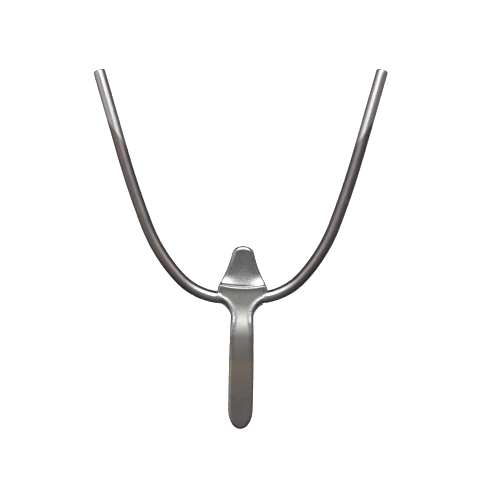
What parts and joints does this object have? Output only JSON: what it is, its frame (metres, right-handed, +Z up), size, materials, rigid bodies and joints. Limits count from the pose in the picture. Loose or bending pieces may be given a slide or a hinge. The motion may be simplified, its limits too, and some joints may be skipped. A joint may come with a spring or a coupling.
{
  "type": "cable needle",
  "caption": "Flat two-prong needle of bent round steel bar, with a flat handle and a short curved tongue between the prongs.",
  "frame": {"origin": "on the table, under the middle of the part's outline", "axes": "+Y towards the free ends of the two arms, -Y towards the end of the handle's tail, +Z up from the table, out of the handle's front face, +X towards the right arm"},
  "size_m": [0.0842, 0.1028, 0.0046],
  "materials": {
    "arm_steel": "drawn and polished stainless round bar",
    "handle_steel": "satin stainless strip with bright rounded edges",
    "tongue_steel": "polished stainless strip",
    "braze_filler": "smooth silver brazing filler"
  },
  "bodies": {
    "root": {"left_arm": "arm_steel", "right_arm": "arm_steel", "handle": "handle_steel", "tongue": "tongue_steel", "left_braze": "braze_filler", "right_braze": "braze_filler"}
  },
  "joints": []
}
